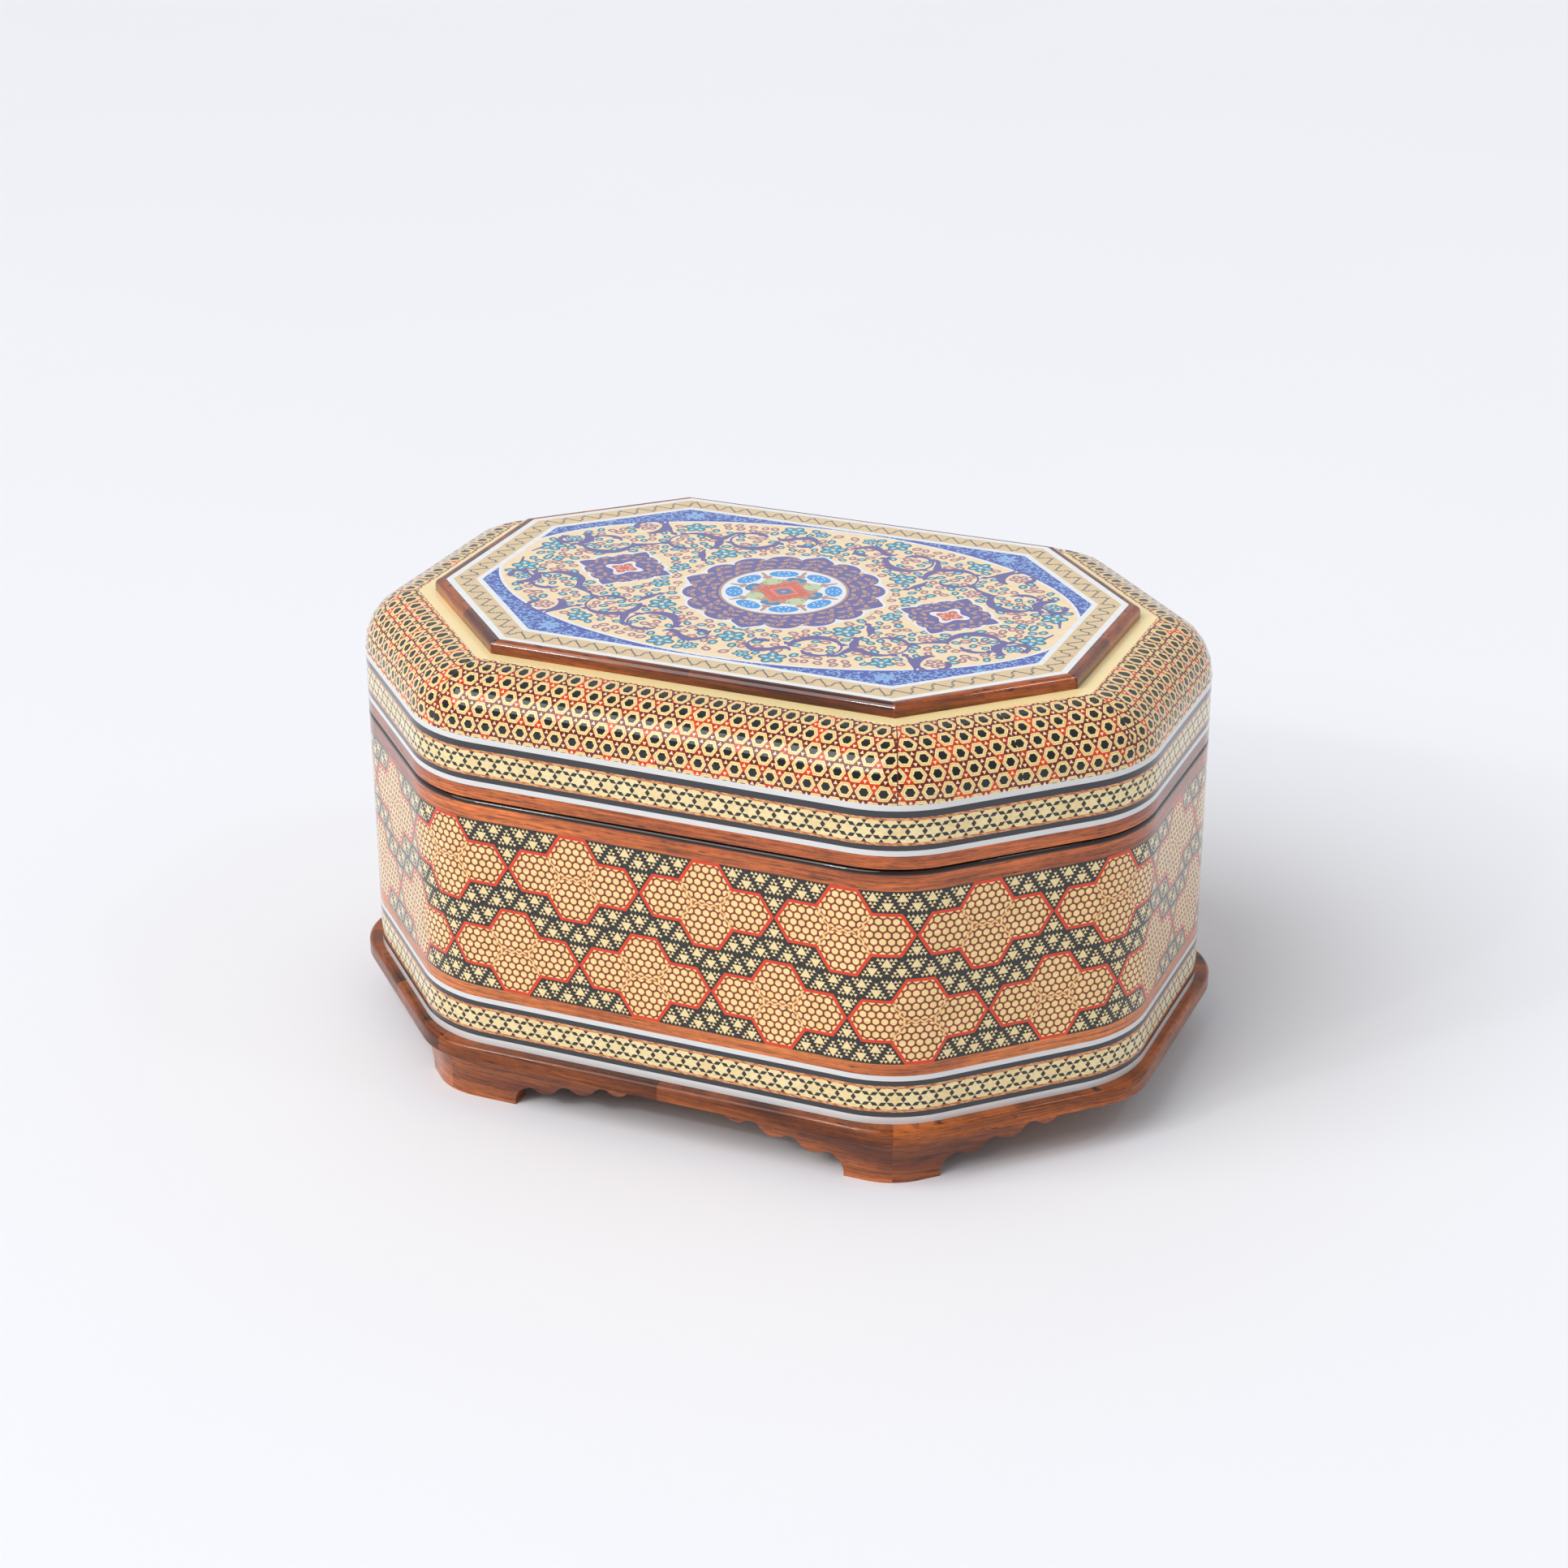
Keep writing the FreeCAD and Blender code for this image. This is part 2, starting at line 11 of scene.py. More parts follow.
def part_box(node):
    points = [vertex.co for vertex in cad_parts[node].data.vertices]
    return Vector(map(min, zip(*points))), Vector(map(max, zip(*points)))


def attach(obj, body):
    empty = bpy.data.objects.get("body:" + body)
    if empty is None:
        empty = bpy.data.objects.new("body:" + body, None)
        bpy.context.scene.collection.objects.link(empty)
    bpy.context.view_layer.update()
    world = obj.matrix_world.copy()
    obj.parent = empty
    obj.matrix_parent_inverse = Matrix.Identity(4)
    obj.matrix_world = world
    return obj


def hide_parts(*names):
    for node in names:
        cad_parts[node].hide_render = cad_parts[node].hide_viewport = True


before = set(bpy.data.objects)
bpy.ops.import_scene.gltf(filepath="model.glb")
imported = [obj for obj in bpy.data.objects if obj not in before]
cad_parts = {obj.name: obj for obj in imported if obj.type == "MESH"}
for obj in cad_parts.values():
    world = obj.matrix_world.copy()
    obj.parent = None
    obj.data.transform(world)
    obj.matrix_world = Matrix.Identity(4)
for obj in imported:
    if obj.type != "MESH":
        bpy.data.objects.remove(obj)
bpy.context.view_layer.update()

MM = 0.001
ROOT_HALF = math.sqrt(0.5)

# ---------------------------------------------------------------- levels and plan, in millimetres


def level(node, top=False):
    """The lowest or the highest level of a CAD node above the floor."""
    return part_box(node)[1 if top else 0].z / MM


def half_size(node):
    """Half the length and half the width of a CAD node."""
    low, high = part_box(node)
    return (high.x - low.x) / 2 / MM, (high.y - low.y) / 2 / MM


BODY_X, BODY_Y = half_size("base_khatam_field")
BODY_CUT = 42.3
BODY_ROUND = 28.8
TANGENT = BODY_ROUND * math.tan(math.radians(22.5))
FLAT_LONG = BODY_X - BODY_CUT - TANGENT
FLAT_SHORT = BODY_Y - BODY_CUT - TANGENT
FLAT_CHAMFER = BODY_CUT / ROOT_HALF - 2 * TANGENT
QUARTER = FLAT_LONG + FLAT_CHAMFER + FLAT_SHORT + BODY_ROUND * math.pi / 2

PANEL_X, PANEL_Y = half_size("lid_painted_panel")
PANEL_CUT = 30.3

# ---------------------------------------------------------------- node arithmetic


def colour(code):
    """A linear colour from its usual six-digit code."""
    parts = [int(code[place : place + 2], 16) / 255 for place in (0, 2, 4)]
    return tuple(part / 12.92 if part <= 0.04045 else ((part + 0.055) / 1.055) ** 2.4 for part in parts)


class Number:
    """A number in a material's node tree. Python arithmetic on it adds Math nodes."""

    def __init__(self, tree, socket):
        self.tree = tree
        self.socket = socket

    def math(self, operation, *others, clamp=False):
        node = self.tree.nodes.new("ShaderNodeMath")
        node.operation = operation
        node.use_clamp = clamp
        for place, item in enumerate((self, *others)):
            if isinstance(item, Number):
                self.tree.links.new(item.socket, node.inputs[place])
            else:
                node.inputs[place].default_value = item
        return Number(self.tree, node.outputs[0])

    def __add__(self, other):
        return self.math("ADD", other)

    def __sub__(self, other):
        return self.math("SUBTRACT", other)

    def __rsub__(self, other):
        return self * -1.0 + other

    def __mul__(self, other):
        return self.math("MULTIPLY", other)

    def __truediv__(self, other):
        return self.math("DIVIDE", other)

    def __lt__(self, other):
        return self.math("LESS_THAN", other)

    def __gt__(self, other):
        return self.math("GREATER_THAN", other)

    def abs(self):
        return self.math("ABSOLUTE")

    def floor(self):
        return self.math("FLOOR")

    def sign(self):
        return self.math("SIGN")

    def least(self, other):
        return self.math("MINIMUM", other)

    def most(self, other):
        return self.math("MAXIMUM", other)

    def within(self, low, high):
        return self.most(low).least(high)

    def part(self):
        """What is left above the whole number below."""
        return self.math("FRACT")

    def wrap(self, period):
        """The remainder, never negative."""
        return self - (self / period).floor() * period

    def choose(self, yes, no):
        """yes where this number is 1 and no where it is 0."""
        return self * (yes - no) + no

    def ramp(self, low, high):
        """0 up to low, 1 from high on, and even steps between."""
        return (self - low).math("DIVIDE", high - low, clamp=True)


class Nodes:
    """A node tree, with helpers that add nodes to it."""

    def __init__(self, tree):
        self.tree = tree

    def node(self, kind, **settings):
        made = self.tree.nodes.new("ShaderNode" + kind)
        for key, value in settings.items():
            setattr(made, key, value)
        return made

    def number(self, socket):
        return Number(self.tree, socket)

    def place(self):
        """The point's x, y and z at rest, in millimetres."""
        split = self.node("SeparateXYZ")
        self.tree.links.new(self.node("TexCoord").outputs["Object"], split.inputs[0])
        return [self.number(split.outputs[axis]) * (1 / MM) for axis in range(3)]

    def vector(self, *numbers):
        joined = self.node("CombineXYZ")
        for place, item in enumerate(numbers):
            if isinstance(item, Number):
                self.tree.links.new(item.socket, joined.inputs[place])
            else:
                joined.inputs[place].default_value = item
        return joined.outputs[0]

    def noise(self, vector, scale, detail=3.0, roughness=0.55):
        made = self.node("TexNoise")
        made.inputs["Scale"].default_value = scale
        made.inputs["Detail"].default_value = detail
        made.inputs["Roughness"].default_value = roughness
        self.tree.links.new(vector, made.inputs["Vector"])
        return self.number(made.outputs["Fac"])

    def chance(self, *numbers):
        """A random number from 0 to 1 that is the same for the same inputs."""
        made = self.node("TexWhiteNoise", noise_dimensions="3D")
        self.tree.links.new(self.vector(*numbers), made.inputs["Vector"])
        return self.number(made.outputs["Value"])

    def mix(self, factor, first, second):
        """A colour between first and second, each a colour or a colour socket."""
        made = self.node("Mix", data_type="RGBA")
        if isinstance(factor, Number):
            self.tree.links.new(factor.socket, made.inputs[0])
        else:
            made.inputs[0].default_value = factor
        for place, item in ((6, first), (7, second)):
            if isinstance(item, tuple):
                made.inputs[place].default_value = (*item, 1.0)
            else:
                self.tree.links.new(item, made.inputs[place])
        return made.outputs[2]

    def shaded(self, base, factor):
        """base made darker or lighter by the number factor."""
        made = self.node("Mix", data_type="RGBA", blend_type="MULTIPLY")
        made.inputs[0].default_value = 1.0
        self.tree.links.new(base, made.inputs[6])
        self.tree.links.new(self.vector(factor, factor, factor), made.inputs[7])
        return made.outputs[2]


class Material(Nodes):
    """A node material under a clear lacquer."""

    def __init__(self, name):
        self.data = bpy.data.materials.new(name)
        self.data.use_nodes = True
        super().__init__(self.data.node_tree)
        self.shader = self.tree.nodes["Principled BSDF"]

    def finish(self, base, roughness=0.4, coat=1.0, coat_roughness=0.025, height=None, depth=0.02):
        """Links the colour and the relief, a height in millimetres times depth, and sets the gloss."""
        self.tree.links.new(base, self.shader.inputs["Base Color"])
        self.shader.inputs["Roughness"].default_value = roughness
        self.shader.inputs["Coat Weight"].default_value = coat
        self.shader.inputs["Specular IOR Level"].default_value = 0.1 if coat else 0.5
        self.shader.inputs["Coat Roughness"].default_value = coat_roughness
        if height is not None:
            bump = self.node("Bump")
            bump.inputs["Strength"].default_value = 1.0
            bump.inputs["Distance"].default_value = depth * MM
            self.tree.links.new(height.socket, bump.inputs["Height"])
            self.tree.links.new(bump.outputs[0], self.shader.inputs["Normal"])
        return self.data


def finished(name, shape, material, smooth=False):
    """An object from a bmesh, with its material."""
    data = bpy.data.meshes.new(name)
    shape.to_mesh(data)
    shape.free()
    data.materials.append(material)
    for face in data.polygons:
        face.use_smooth = smooth
    thing = bpy.data.objects.new(name, data)
    bpy.context.scene.collection.objects.link(thing)
    return thing


# ---------------------------------------------------------------- places on the box


def around(x, y):
    """The distance along the rounded outline from the middle of the front, towards +x, ending at the back."""
    across, deep = x.abs(), y.abs()
    first = (across - FLAT_LONG).math("ARCTAN2", deep - (BODY_Y - BODY_ROUND))
    second = (across - (BODY_X - BODY_ROUND)).math("ARCTAN2", deep - FLAT_SHORT)
    eighth = math.pi / 4
    chamfer_x = FLAT_LONG + BODY_ROUND * ROOT_HALF
    chamfer_y = BODY_Y - BODY_ROUND + BODY_ROUND * ROOT_HALF
    slant = (across - chamfer_x) * ROOT_HALF - (deep - chamfer_y) * ROOT_HALF
    run = across.least(FLAT_LONG) + first.within(0, eighth) * BODY_ROUND + slant.within(0, FLAT_CHAMFER)
    run = run + (second - eighth).within(0, eighth) * BODY_ROUND
    run = run + (deep * -1 + FLAT_SHORT).within(0, FLAT_SHORT)
    front = y < 0
    return x.sign() * front.choose(run, run * -1 + 2 * QUARTER)


def sides(x, y, half_x, half_y, cut):
    """For an octagon of straight sides: the distance along the nearest side, a number for that side, and
    how far the point is from the next side's mitre."""
    across, deep = x.abs(), y.abs()
    from_long = deep * -1 + half_y
    from_short = across * -1 + half_x
    from_slant = ((across + deep) * -1 + (half_x + half_y - cut)) * ROOT_HALF
    on_slant = from_slant < from_long.least(from_short)
    on_short = from_short < from_long
    straight = on_short.choose(y, x)
    slanted = (across - deep) * ROOT_HALF * x.sign()
    middle = from_long.most(from_short).least(from_slant.most(from_long.least(from_short)))
    mitre = middle - from_long.least(from_short).least(from_slant)
    side = x.sign() * 3 + y.sign() * 5 + on_slant * 7 + on_short * 11
    return on_slant.choose(slanted, straight), side, mitre


# ---------------------------------------------------------------- woods, lines and bone


def walnut(name, light, dark, coordinates, streak=1.0, gloss=0.03, painted_seam_shade=None, coat=1.0):
    """Walnut with its grain along the first coordinate. coordinates(material) gives along, across and
    through. gloss is the lacquer's roughness. The pair of levels for the painted seam shade gives where a
    painted dark band starts and where it is full: painted shade standing in for the seam's shadow."""
    made = Material(name)
    along, across, through = coordinates(made)
    wave = made.noise(made.vector(along * 0.012, across * 0.09, through * 0.09), 1.0, 4.0)
    fine = made.noise(made.vector(along * 0.06, across * 1.6, through * 1.6), 1.0, 6.0, 0.65)
    pores = made.noise(made.vector(along * 0.22, across * 5.5, through * 5.5), 1.0, 2.0)
    fleck = made.noise(made.vector(along * 0.5, across, through), 0.9, 4.0, 0.65)
    tone = made.mix(((wave - 0.5) * 3.2 + 0.5).within(0, 1), dark, light)
    tone = made.shaded(tone, ((fine - 0.5) * (1.6 * streak) + (fleck - 0.5) * 0.9 + 1.0).within(0.35, 1.5))
    vessel = ((pores - 0.6) * 9.0).within(0, 1) * 0.6 * streak
    tone = made.mix(vessel, tone, colour("2a1208"))
    # Painted shade: the wood darkens towards the seam between lid and base, standing in for the seam's
    # shadow.
    if painted_seam_shade:
        height = made.place()[2] * math.copysign(1, painted_seam_shade[1] - painted_seam_shade[0])
        tone = made.mix(height.ramp(*sorted(map(abs, painted_seam_shade))), tone, colour("1e0d06"))
    return made.finish(tone, 0.42, coat, gloss, fine + pores * 0.5, 0.02)


def along_outline(made):
    """Grain that runs round the box's outline."""
    x, y, z = made.place()
    return around(x, y), z, x * 0.02


def along_sides(half_x, half_y, cut):
    """Grain that runs along each straight side of an octagon, with a different length on each side."""

    def coordinates(made):
        x, y, z = made.place()
        along, side, _ = sides(x, y, half_x, half_y, cut)
        return along + side * 37.0, z + x * 0.03, y * 0.03 + side

    return coordinates


def plain_line(name, tone, spread):
    """A thin plain strip that runs round the box, a little uneven in colour along its length."""
    made = Material(name)
    x, y, z = made.place()
    run = around(x, y)
    patch = made.noise(made.vector(run * 0.12, z * 1.5, 0.0), 1.0, 4.0)
    fibre = made.noise(made.vector(run * 0.7, z * 14.0, 3.0), 1.0, 2.0)
    base = made.mix(0.0, colour(tone), colour(tone))
    base = made.shaded(base, (patch - 0.5) * spread + (fibre - 0.5) * spread + 1.0)
    return made.finish(base)


BONE = colour("f6e2ac")
BONE_WARM = colour("eed091")
EBONY = colour("1d1a18")
CHARCOAL = colour("3b3b41")


def weights(skew, rise):
    """A point's weights on the three corners of its triangle in a triangular lattice, and 1 where that
    triangle points down. skew and rise are whole numbers at the lattice's points."""
    part_b, part_a = skew.part(), rise.part()
    flipped = (part_b + part_a) > 1.0
    part_b = flipped.choose(1.0 - part_b, part_b)
    part_a = flipped.choose(1.0 - part_a, part_a)
    return (part_b, part_a, 1.0 - (part_a + part_b)), flipped


def extremes(three):
    """The least and the most of three numbers."""
    return three[0].least(three[1]).least(three[2]), three[0].most(three[1]).most(three[2])


def star_inlay(name, middle):
    """Six-pointed stars in bone between black rhombi, one full row and two halves, edged with a thin line."""
    made = Material(name)
    x, y, z = made.place()
    run = around(x, y)
    stars_round, half_band = 153, 2.65
    pitch = 4 * QUARTER / stars_round
    row = half_band / 3
    rise = (z - middle) / row
    skew = run / (pitch / 3) - rise / 2
    upward = (skew.part() + rise.part()) < 1.0
    turn = 1.0 - upward
    place_b = (skew.floor() - turn).wrap(3.0)
    place_a = (rise.floor() - turn).wrap(3.0)
    total = place_b + place_a
    black = (place_b < 1.5) * (place_a < 1.5) * upward.choose(total > 0.5, total < 1.5)
    star = made.chance((skew / 3 + 0.5).floor(), (rise / 3 + 0.5).floor(), 1.0)
    tile = made.chance(skew.floor(), rise.floor(), upward)
    bone = made.shaded(made.mix(star * 0.7, BONE, BONE_WARM), tile * 0.12 + 0.92)
    base = made.mix(black, bone, made.mix(tile * 0.35, EBONY, CHARCOAL))
    twist = made.noise(made.vector(run * 0.8 + z * 1.5, z * 2.0, 0.0), 1.0, 2.0)
    line = made.mix(twist.ramp(0.4, 0.62), colour("b4541c"), colour("e8b47c"))
    base = made.mix((z - middle).abs() > half_band, base, line)
    return made.finish(base)


def seamless(run, period):
    """run, with the back half set a little closer, so that a whole number of periods goes round."""
    spare = math.ceil(4 * QUARTER / period) * period / 2 - QUARTER
    beyond = (run.abs() - QUARTER).most(0.0) * (spare / QUARTER)
    return run.sign() * (run.abs().least(QUARTER) + beyond)


def six_sided(x, y, half_x, half_y):
    """1 on the edge of a flat-topped hexagon with a corner at half_x and a flat at half_y, less inside it."""
    return (y.abs() / half_y).most(x.abs() / half_x + y.abs() / (2 * half_y))


def khatam_ground(made, u, v, side, row):
    """Black set with blocks of a large bone triangle and nine small ones round it."""
    rise = v / row
    three, flipped = weights(u / side + 0.5 - rise / 2, rise)
    margin = 0.038
    units = [(weight - margin) * (6.0 / (1 - 3 * margin)) for weight in three]
    inner, outer = extremes(units)
    parts = [unit.part() for unit in units]
    turned = (parts[0] + parts[1] + parts[2]) > 1.5
    small = turned * (extremes(parts)[1] < 0.97) * (outer > 3.0)
    bone_tile = (outer < 2.93).most(small) * (inner > 0.0)
    rod = made.chance((u / 1.1).floor(), (v / 0.9).floor(), flipped)
    black = made.mix((inner < -0.15) * (rod * 0.5 + 0.2), EBONY, CHARCOAL)
    speck = made.noise(made.vector(u, v, 0.0), 0.9, 2.0)
    return made.mix(bone_tile, black, made.mix(speck, BONE, BONE_WARM))


def bone_dots(made, x, v, chance):
    """Round bone rods in a close lattice, with red wood between them."""
    pitch, row = 1.98, 1.66
    three, _ = weights(x / pitch - v / (2 * row), v / row)
    least, most = extremes(three)
    second = 1.0 - least - most
    reach = (1.0 - most) * (1.0 - most) - second * least
    dot = (reach < 0.16) * ((most - second) > 0.22)
    wood = made.mix(chance, colour("bd5212"), colour("8a300e"))
    grout = made.mix((most - second) < 0.075, wood, colour("4a1c0a"))
    return made.mix(dot, grout, made.mix(chance, colour("fde0a0"), colour("f2d08a")))


def khatam_field(name, low, high):
    """Two strips of linked hexagons of bone rods in red lines, on black set with bone triangles."""
    made = Material(name)
    x, y, z = made.place()
    strip = (high - low) / 2
    row = strip / 4
    side = 6.65
    line = 0.74
    upper = z > (low + high) / 2
    run = seamless(around(x, y), 5 * side) - upper.choose(12.0, -3.6)
    u = (run + 2.5 * side).wrap(5 * side) - 2.5 * side
    v = (z - low).wrap(strip) - strip / 2
    end_x, mid_v = u.abs() - 1.5 * side, v.abs() - row
    in_end = six_sided(end_x, v, side, row)
    in_mid = six_sided(u, mid_v, side, row)
    at_end = in_end < in_mid
    hexagon = in_end.least(in_mid)
    rim_end = (v.abs() / row).most(end_x / side + v.abs() / (2 * row))
    rim_mid = (mid_v / row).most(u.abs() / side + mid_v / (2 * row))
    rim = at_end.choose(rim_end, rim_mid)
    local_x = at_end.choose(end_x, u)
    local_v = at_end.choose(v, mid_v)
    chance = made.chance((local_x / 1.4).floor(), (local_v / 1.3).floor(), (run / side).floor())
    base = bone_dots(made, local_x, local_v, chance)
    across_middle = (in_end > 1.1) * (v.abs() < 1.0)
    offset = across_middle.choose(v, (in_mid - in_end) * (row / 2))
    travel = across_middle.choose(u, v * 1.15) / 1.98
    wave = ((travel.part() - 0.5).abs() * 4 - 1.0) * 0.3
    near_seam = offset.abs() < 0.5
    base = made.mix(near_seam, base, colour("b5561a"))
    base = made.mix(near_seam * ((offset - wave).abs() < 0.24), base, BONE_WARM)
    edge_tone = made.mix(chance * 0.5, colour("e53c02"), colour("c62c02"))
    base = made.mix(rim > (1.0 - line / row), base, edge_tone)
    base = made.mix(hexagon < 1.0, khatam_ground(made, u, v, side, row), base)
    return made.finish(base)


def khatam_flank(name, low, high):
    """Bone hexagons with black cores on the lid's rounded flank, with red between them and one bone triangle
    in each gap. Each side of the octagon has its own strip, mitred at the corners."""
    made = Material(name)
    x, y, z = made.place()
    along, side, mitre = sides(x, y, BODY_X, BODY_Y, BODY_CUT)
    climb = ((z - low) / (high - low)).within(0.0, 1.0).math("ARCSINE") * ((high - low) * 1.065)
    pitch, row = 4.38, 3.87
    rise = (climb - 2.8) / row
    block = (((along - 0.2) / pitch - rise / 2) / 6).floor()
    nudge = made.chance(block, side, 5.0) - 0.5
    rise = rise + nudge * 0.14
    skew = (along + nudge * 0.4 + side * 0.7) / pitch - rise / 2
    three, flipped = weights(skew, rise)
    least, most = extremes(three)
    hexagon = (1.0 - most) * 2.0
    grain = made.noise(made.vector(along, climb, side), 1.6, 3.0)
    bone = made.mix(grain.ramp(0.35, 0.65), colour("fbe8b0"), colour("ecca80"))
    bone = made.mix((hexagon - 0.74).abs() < 0.035, bone, colour("dfb060"))
    core = made.mix(hexagon < 0.42, colour("060403"), colour("0e0a07"))
    tile = made.mix(hexagon < 0.51, bone, core)
    hue = made.chance(flipped, skew.floor(), rise.floor())
    red = made.mix(hue.ramp(0.5, 0.95), colour("701305"), colour("dc3c08"))
    red = made.mix(least > 0.262, red, colour("f4e2b4"))
    base = made.mix(hexagon < 0.92, red, tile)
    base = made.mix(mitre < 0.1, base, colour("5c2410"))
    return made.finish(base)


# ---------------------------------------------------------------- the painted panel
# Its drawing is a list of closed shapes, each a tone and corner points. A point is a complex number,
# x + y * 1j, in millimetres from the panel's middle. A later shape covers the earlier ones. One quarter is
# drawn and mirrored.

TONES = {
    "white": "eef0f1", "tan": "e3c696", "ink": "6a6d72", "blue": "3a4fae", "sky": "82b2e4", "cream": "f9e0b6",
    "violet": "5d579c", "tawny": "bd927c", "teal": "2f97b8", "teal_edge": "305468", "pale_teal": "b4e0e6",
    "rose": "bf8788", "rose_edge": "8a6068", "pale_rose": "f2dcd4", "green": "c3d1a4", "red": "d9614a",
    "coral": "e88c78", "azure": "2398e6", "stem": "93806f", "sea": "2c80b4",
}
OVAL_X, OVAL_Y = 72.2, 44.3
MEDALLION, ROUNDEL = 24.3, 15.0
CARTOUCHE = 42.2 + 0j
# Each scroll is a spiral's centre, radius, first angle and sweep, each tendril a curve's start, bend and end,
# and each flower a centre, size and tone.
SCROLLS = [
    (21.0 + 30.6j, 6.4, 165, 330), (34.6 + 23.0j, 6.9, 205, -330), (54.0 + 14.8j, 6.6, 165, 330),
    (49.4 + 29.4j, 4.6, 250, -300), (63.2 + 14.2j, 4.2, 100, 300), (8.4 + 33.0j, 3.6, 20, 280),
]
TENDRILS = [
    (9.5 + 37.2j, 14.6 + 31.0j, 16.0 + 34.6j), (26.4 + 34.0j, 29.4 + 28.6j, 28.6 + 24.6j),
    (40.6 + 20.4j, 46.2 + 14.4j, 48.2 + 17.2j), (59.8 + 13.4j, 65.4 + 12.4j, 68.6 + 2.2j),
    (26.2 + 12.2j, 29.0 + 15.0j, 29.4 + 19.6j), (40.9 + 26.8j, 45.8 + 30.4j, 46.6 + 35.0j),
]
FLOWERS = [
    (0.0 + 31.4j, 3.0, "teal"), (14.0 + 40.0j, 2.9, "teal"), (23.5 + 18.7j, 3.0, "teal"),
    (38.0 + 33.4j, 2.7, "teal"), (65.4 + 7.6j, 2.9, "teal"), (29.8 + 6.0j, 2.3, "teal"),
    (42.4 + 15.6j, 2.1, "rose"), (49.4 + 29.4j, 2.2, "rose"), (6.4 + 40.3j, 1.8, "teal"),
    (62.9 + 14.4j, 1.9, "teal"),
]
PANEL_RNG = random.Random(11)


def rotated(angle, length=1.0):
    """The complex number of that length, turned by an angle in degrees."""
    return length * complex(math.cos(math.radians(angle)), math.sin(math.radians(angle)))


def wave(angle):
    """The size of the cosine of an angle in degrees."""
    return abs(math.cos(math.radians(angle)))


def ellipse(centre, long, wide, turn=0.0, count=9):
    """Corner points of an ellipse of half axes long and wide."""
    steps = [rotated(360 * step / count) for step in range(count)]
    return [centre + complex(step.real * long, step.imag * wide) * rotated(turn) for step in steps]


def arc(centre, reach, start, end, count):
    """Points round a centre from angle start to end. reach is the radius, or gives it for each angle."""
    angles = [start + (end - start) * step / count for step in range(count + 1)]
    return [centre + rotated(angle, reach(angle) if callable(reach) else reach) for angle in angles]


def bent(first, bend, last, count=12):
    """Points along a curve that leaves first towards bend and ends at last."""
    parts = [step / count for step in range(count + 1)]
    return [first * (1 - part) ** 2 + bend * 2 * part * (1 - part) + last * part**2 for part in parts]


def swelling(part, low, high):
    """0 outside low to high and 1 half way between them."""
    return math.sin(math.pi * (part - low) / (high - low)) if low < part < high else 0.0


def stroke(tone, points, width):
    """A line along the points, as four-sided shapes. width is a number, or gives it from 0 to 1 along it."""
    last = len(points) - 1
    edge = []
    for place, point in enumerate(points):
        ahead = points[min(place + 1, last)] - points[max(place - 1, 0)]
        breadth = width(place / last) if callable(width) else width
        normal = ahead / abs(ahead) * 1j * (breadth / 2)
        edge.append((point + normal, point - normal))
    return [(tone, [right, next_right, next_left, left])
            for (left, right), (next_left, next_right) in zip(edge, edge[1:])]


def flower(centre, size, tone, turn):
    """A round flower of five outlined petals, each with a light streak."""
    petals = [turn + 72 * petal for petal in range(5)]
    shapes = [(tone + "_edge", ellipse(centre + rotated(angle, size * 0.58), size * 0.5, size * 0.43, angle))
              for angle in petals]
    for angle in petals:
        middle, streak = centre + rotated(angle, size * 0.58), centre + rotated(angle, size * 0.6)
        shapes.append((tone, ellipse(middle, size * 0.39, size * 0.32, angle)))
        shapes.append(("pale_" + tone, ellipse(streak, size * 0.26, size * 0.12, angle, 6)))
    shapes.append(("cream", ellipse(centre, size * 0.2, size * 0.2, 0.0, 7)))
    return shapes


def bud(centre, size, tone, turn):
    """A small outlined bud with a light streak."""
    return [
        (tone + "_edge", ellipse(centre, size * 1.28, size * 0.98, turn)),
        (tone, ellipse(centre, size, size * 0.7, turn)),
        ("pale_" + tone, ellipse(centre, size * 0.6, size * 0.32, turn, 6)),
    ]


def leaf(tip, turn, length, width):
    """A pointed violet leaf that grows towards its tip along turn."""
    back = rotated(turn + 180)
    side = back * 1j * width / 2
    widest = tip + back * length * 0.55
    return ("violet", [tip, widest + side, tip + back * length, widest - side])


def scroll_line(centre, radius, start, sweep):
    """Points along a spiral that curls inwards from angle start."""
    parts = [step / 30 for step in range(31)]
    return [centre + rotated(start + sweep * part, radius * (1 - 0.42 * part**2.2)) for part in parts]


def scroll(centre, radius, start, sweep):
    """A spiral tendril, thick where it starts and again near its end, with leaves on its outside."""
    line = scroll_line(centre, radius, start, sweep)
    shapes = stroke("violet", line, lambda part: 0.6 + 2.1 * swelling(part, -0.02, 0.48) ** 1.3
                    + 0.9 * swelling(part, 0.7, 1.0))
    lean = math.copysign(35, sweep)
    for step, spread in ((1, 2.6), (7, 2.2), (14, 2.0), (21, 1.6), (27, 1.3)):
        heading = start + sweep * step / 30 + lean
        shapes.append(leaf(line[step] + rotated(heading, spread), heading, 3.0, 1.8))
    return shapes


def medallion_edge(angle):
    """The radius of the middle medallion: sixteen lobes, four of them pointed."""
    tip = max(0.0, 1 - abs((angle + 45) % 90 - 45) / 6)
    return MEDALLION - 3.4 + 3.4 * wave(angle * 8) ** 0.38 + 1.2 * tip


def cartouche_edge(angle):
    """The radius of a side cartouche: a diamond with lobed sides."""
    across, up = wave(angle), wave(angle + 90)
    return 12.2 / (across + up) ** 0.8 - 1.2 + 1.3 * wave(angle * 6) ** 0.5


